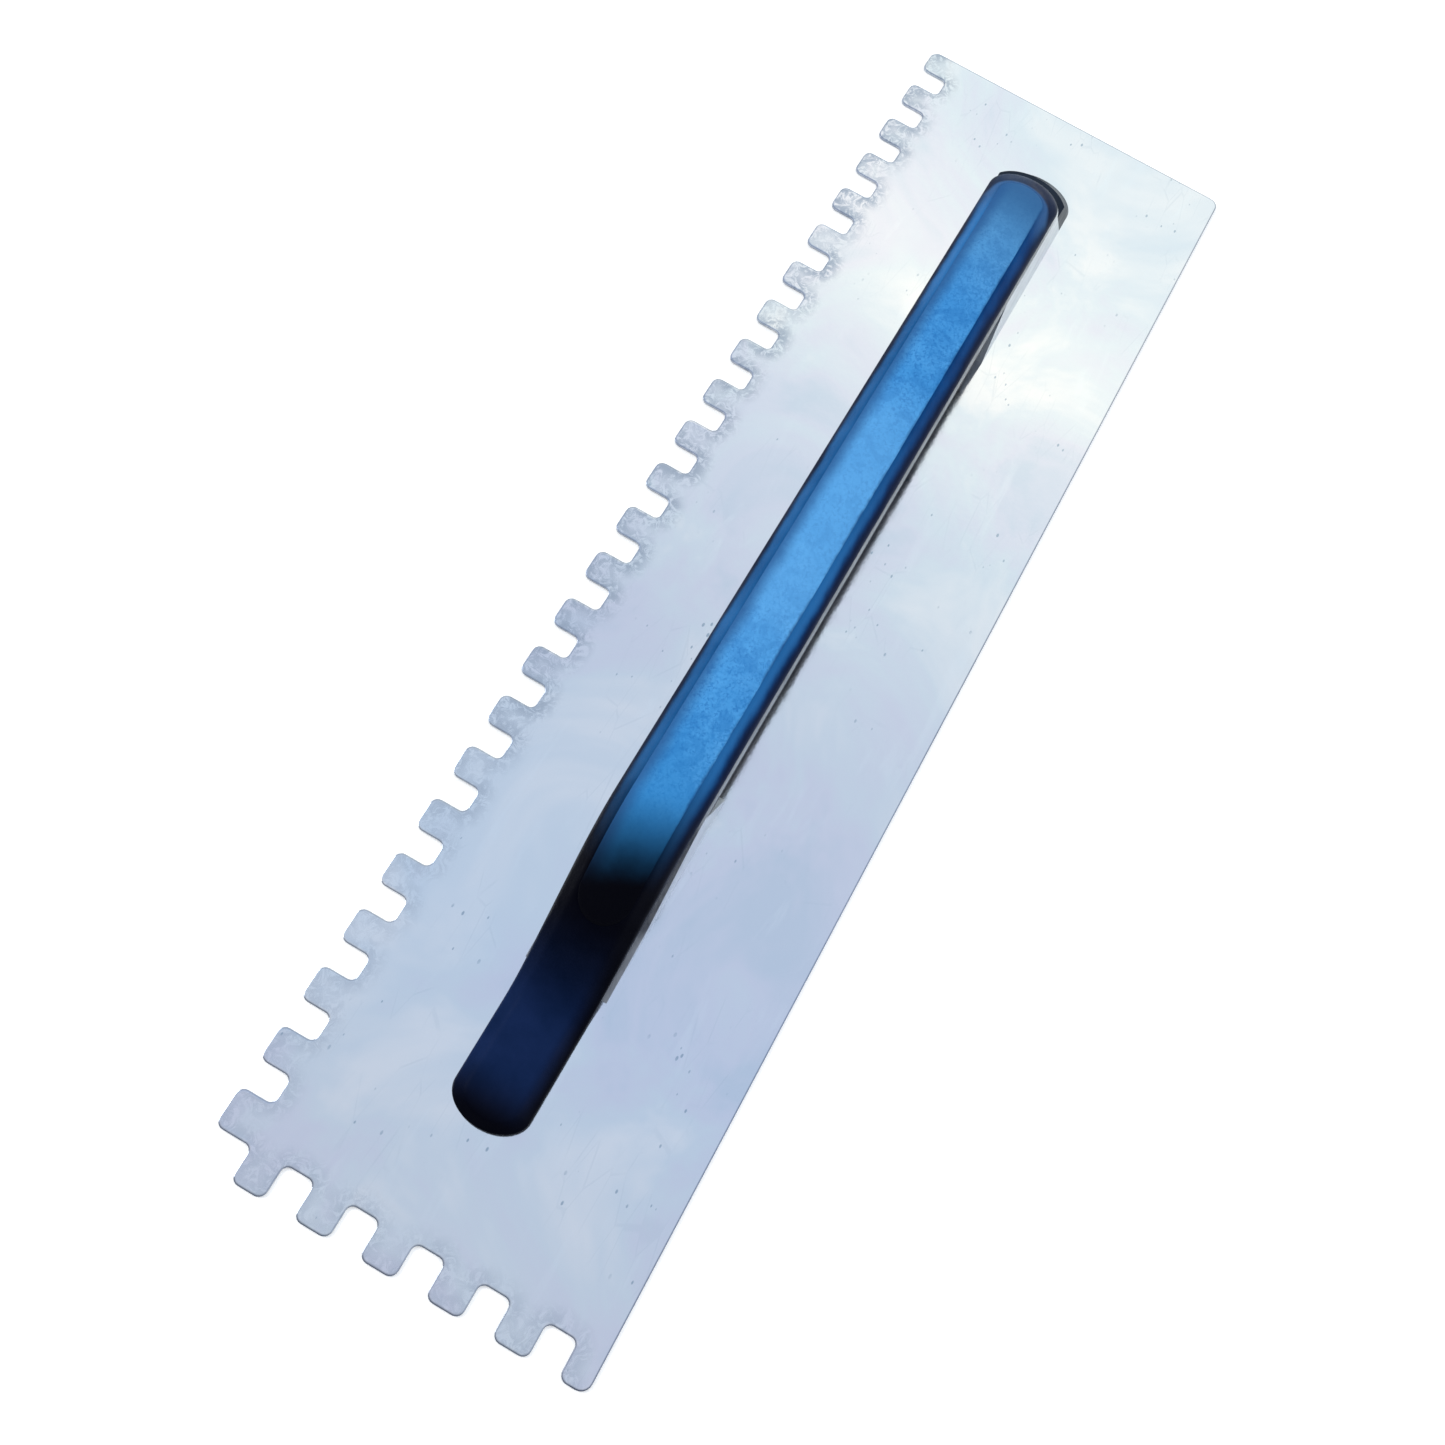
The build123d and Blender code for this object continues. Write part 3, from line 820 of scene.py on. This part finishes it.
def make_shell_and_pad(shell_material, pad_material):
    """The moulded shell with its soft pad let in flush, cut from one surface along the pad's edge."""
    rows = shell_rows()
    columns = shell_columns()
    pad_row = next(index for index, row in enumerate(rows) if row[0] > HALF_WIDTH - PAD_HALF_WIDTH)
    points = [shell_point(column, row) for row in rows for column in columns]
    count = len(columns)
    parts = {"shell": [], "pad": []}
    for row in range(len(rows) - 1):
        for index in range(count):
            following = (index + 1) % count
            low, high = row * count, (row + 1) * count
            face = (low + index, low + following, high + following, high + index)
            behind = min(columns[index][0], columns[following][0]) > PAD_FRONT + PAD_HALF_WIDTH
            parts["pad" if row >= pad_row and behind else "shell"].append(face)
    shell = skin("grip_shell", points, parts["shell"], shell_material, SHELL_WALL)
    pad = skin("grip_pad_skin", points, parts["pad"], pad_material, PAD_THICKNESS)
    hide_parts("handle_shell")
    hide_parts("grip_pad")


def skin(name, points, faces, material, thickness):
    """A piece with a wall of even thickness under the given outer faces."""
    used = sorted({corner for face in faces for corner in face})
    new_index = {old: new for new, old in enumerate(used)}
    own_points = [points[old] for old in used]
    own_faces = [[new_index[corner] for corner in face] for face in faces]
    piece = new_piece(name, own_points, own_faces, material)
    merge_close(piece)
    wall = piece.modifiers.new("wall", "SOLIDIFY")
    wall.thickness = thickness * MM
    wall.offset = -1.0
    edges = piece.modifiers.new("edges", "BEVEL")
    edges.width = BEVEL_WIDTH * MM
    edges.segments = 2
    edges.limit_method = "ANGLE"
    edges.angle_limit = math.radians(50)
    shade_smooth(piece)
    return piece


def merge_close(piece):
    """Join the points that two sides of a loft share."""
    work = bmesh.new()
    work.from_mesh(piece.data)
    bmesh.ops.remove_doubles(work, verts=work.verts, dist=MERGE_DISTANCE * MM)
    bmesh.ops.recalc_face_normals(work, faces=work.faces)
    work.to_mesh(piece.data)
    work.free()


def assign(node, material):
    """Give a CAD node its material."""
    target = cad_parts[node]
    target.data.materials.clear()
    target.data.materials.append(material)


def add_camera():
    """Camera at the given azimuth, elevation and roll, aimed at the target."""
    level = math.cos(VIEW_ELEVATION)
    across = Vector((math.cos(VIEW_AZIMUTH), math.sin(VIEW_AZIMUTH), 0.0))
    forward = across * level - Vector((0.0, 0.0, math.sin(VIEW_ELEVATION)))
    up = across * math.sin(VIEW_ELEVATION) + Vector((0.0, 0.0, level))
    right = forward.cross(up)
    turn = Matrix((right, up, -forward)).transposed() @ Matrix.Rotation(VIEW_ROLL, 3, "Z")
    camera = bpy.data.objects.new("camera", bpy.data.cameras.new("camera"))
    bpy.context.scene.collection.objects.link(camera)
    camera.matrix_world = Matrix.Translation(VIEW_TARGET - forward * VIEW_DISTANCE) @ turn.to_4x4()
    camera.data.lens = VIEW_LENS
    camera.data.sensor_width = VIEW_SENSOR
    camera.data.clip_start = 0.01
    bpy.context.scene.camera = camera


def add_softbox(name, place, size, power, colour=(1.0, 1.0, 1.0)):
    """Large square light aimed at the trowel."""
    light = bpy.data.lights.new(name, "AREA")
    light.size = size
    light.energy = power
    light.color = colour
    lamp = bpy.data.objects.new(name, light)
    lamp.location = place
    lamp.rotation_euler = (-Vector(place)).to_track_quat("-Z", "Y").to_euler()
    bpy.context.scene.collection.objects.link(lamp)


def add_surroundings():
    """Soft studio surroundings: bright beyond the plain end, blue overhead, dark behind the nose."""
    world = bpy.data.worlds.new("studio")
    bpy.context.scene.world = world
    world.use_nodes = True
    nodes, links = world.node_tree.nodes, world.node_tree.links
    place = nodes.new("ShaderNodeTexCoord")
    facing = nodes.new("ShaderNodeVectorMath")
    facing.operation = "DOT_PRODUCT"
    facing.inputs[1].default_value = (0.94, -0.05, 0.34)
    links.new(place.outputs["Generated"], facing.inputs[0])
    share = nodes.new("ShaderNodeMapRange")
    share.inputs["From Min"].default_value = -1.0
    links.new(facing.outputs["Value"], share.inputs["Value"])
    ramp = nodes.new("ShaderNodeValToRGB")
    stops = [
        (0.20, (0.12, 0.13, 0.17)),
        (0.45, (0.25, 0.28, 0.34)),
        (0.60, (0.72, 0.76, 0.86)),
        (0.73, (0.66, 0.76, 0.93)),
        (0.83, (0.74, 0.81, 0.94)),
        (0.89, (0.92, 0.99, 1.05)),
        (0.928, (1.30, 1.28, 1.21)),
        (0.950, (1.04, 1.10, 1.12)),
    ]
    elements = ramp.color_ramp.elements
    while len(elements) < len(stops):
        elements.new(0.5)
    for element, (position, colour) in zip(elements, stops):
        element.position = position
        element.color = (*colour, 1.0)
    links.new(share.outputs["Result"], ramp.inputs["Fac"])
    links.new(ramp.outputs["Color"], nodes["Background"].inputs["Color"])
    nodes["Background"].inputs["Strength"].default_value = 1.0


def add_floor(material):
    """Wide floor under the blade."""
    half = FLOOR_HALF_WIDTH
    corners = [(-half, -half), (half, -half), (half, half), (-half, half)]
    mesh = bpy.data.meshes.new("floor")
    mesh.from_pydata([(x, y, FLOOR_HEIGHT) for x, y in corners], [], [(0, 1, 2, 3)])
    mesh.materials.append(material)
    floor = bpy.data.objects.new("floor", mesh)
    bpy.context.scene.collection.objects.link(floor)


def main():
    """Build the whole scene."""
    bpy.context.scene.view_settings.view_transform = "Standard"
    add_camera()
    add_surroundings()
    add_softbox("left_softbox", (-0.2, 1.6, 1.2), 1.2, 24.0)
    add_softbox("right_softbox", (0.2, -1.7, 0.9), 1.2, 15.0)
    add_floor(floor_paint())
    make_blade(blade_steel())
    make_shell_and_pad(shell_plastic(), pad_rubber())
    assign("handle_bridge", cast_metal())
    assign("lower_grip", lower_rubber())
    assign("heel_cap", heel_plastic())
    rivet = fastener_metal("rivet_steel", (0.55, 0.56, 0.58), (0.68, 0.69, 0.71), 0.3)
    zinc = fastener_metal("screw_steel", (0.50, 0.51, 0.52), (0.64, 0.65, 0.67), 0.25)
    brass = fastener_metal("insert_brass", (0.60, 0.42, 0.16), (0.75, 0.56, 0.24), 0.3)
    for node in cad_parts:
        if node.startswith("blade_rivet"):
            assign(node, rivet)
        elif node.startswith("shell_screw") or node.startswith("screw_washer") or node == "heel_screw":
            assign(node, zinc)
        elif node.startswith("shell_insert"):
            assign(node, brass)


main()
